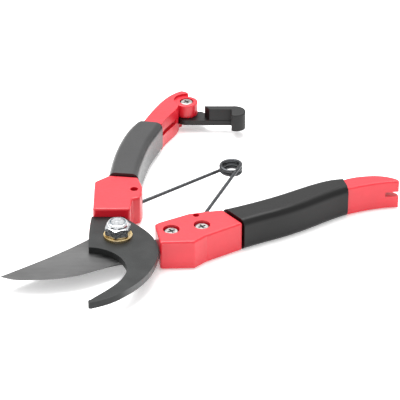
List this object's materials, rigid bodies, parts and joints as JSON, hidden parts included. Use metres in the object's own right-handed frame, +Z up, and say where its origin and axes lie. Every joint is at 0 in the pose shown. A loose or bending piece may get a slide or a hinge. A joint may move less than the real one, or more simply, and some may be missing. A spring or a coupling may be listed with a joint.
{
  "type": "pruning shears",
  "caption": "Bypass pruning shears with curved hook plate, sleeved plastic handles, torsion spring and end catch.",
  "frame": {"origin": "centre of the pivot bolt head's flat face, on the plane that the shears rest on", "axes": "+Z up the pivot towards the nut; +Y along the hook plate's tang and the upper handle; +X to the right, towards the open lower handle"},
  "size_m": [0.1724, 0.1811, 0.0176],
  "materials": {
    "blade_steel": "satin, fine ground",
    "hook_steel": "blackened, matt",
    "red_plastic": "moulded, glossy",
    "grip_rubber": "smooth, satin",
    "zinc_plate": "bright zinc",
    "yellow_zinc": "yellow passivated zinc",
    "nylon": "natural nylon",
    "screw_steel": "zinc plated",
    "spring_steel": "oil-blackened wire",
    "catch_plastic": "moulded, black"
  },
  "bodies": {
    "hook_side": {"hook_blade": "hook_steel", "upper_handle": "red_plastic", "upper_grip_sleeve": "grip_rubber", "upper_front_screw": "screw_steel", "upper_rear_screw": "screw_steel", "pivot_bolt": "zinc_plate", "pivot_washer": "yellow_zinc", "pivot_nut": "zinc_plate", "nut_insert": "nylon", "catch_screw": "screw_steel", "catch_nut": "zinc_plate"},
    "blade_side": {"cutting_blade": "blade_steel", "lower_handle": "red_plastic", "lower_grip_sleeve": "grip_rubber", "lower_front_screw": "screw_steel", "lower_rear_screw": "screw_steel"},
    "spring_upper_leg": {"spring_leg_a": "spring_steel", "spring_coil": "spring_steel"},
    "spring_lower_leg": {"spring_leg_b": "spring_steel"},
    "catch_bearing": {"catch_bush": "nylon"},
    "catch_arm": {"catch": "catch_plastic"}
  },
  "joints": [
    {"name": "handles_close", "type": "hinge", "parent": "hook_side", "child": "blade_side", "pos_m": [0, 0, 0], "axis": [0, 0, 1], "range_deg": [0, 48], "stiffness_Nm_per_rad": 1, "springref_deg": -11.46},
    {"name": "spring_upper_turn", "type": "hinge", "parent": "hook_side", "child": "spring_upper_leg", "pos_m": [0.0068, 0.0342, 0.0058], "axis": [0, 0, 1], "range_deg": [0, 43.6]},
    {"name": "spring_coil_wind", "type": "hinge", "parent": "spring_upper_leg", "child": "spring_lower_leg", "pos_m": [0.0491, 0.0595, 0.008], "axis": [0, 0, 1], "range_deg": [-33.1, 0], "deforming": ["spring_coil"]},
    {"name": "catch_push", "type": "hinge", "parent": "hook_side", "child": "catch_bearing", "pos_m": [0.0288, 0.1195, 0.005], "axis": [0, 0, 1], "range_deg": [0, 60]},
    {"name": "catch_swing", "type": "hinge", "parent": "catch_bearing", "child": "catch_arm", "pos_m": [0.0288, 0.1195, 0.005], "axis": [0, 0, 1], "range_deg": [-34, 60]}
  ],
  "couplings": [
    {"joint": "spring_upper_turn", "follows": "handles_close", "ratio": 0.908},
    {"joint": "spring_coil_wind", "follows": "handles_close", "ratio": -0.688},
    {"joint": "catch_push", "follows": "handles_close", "ratio": 1.25}
  ]
}
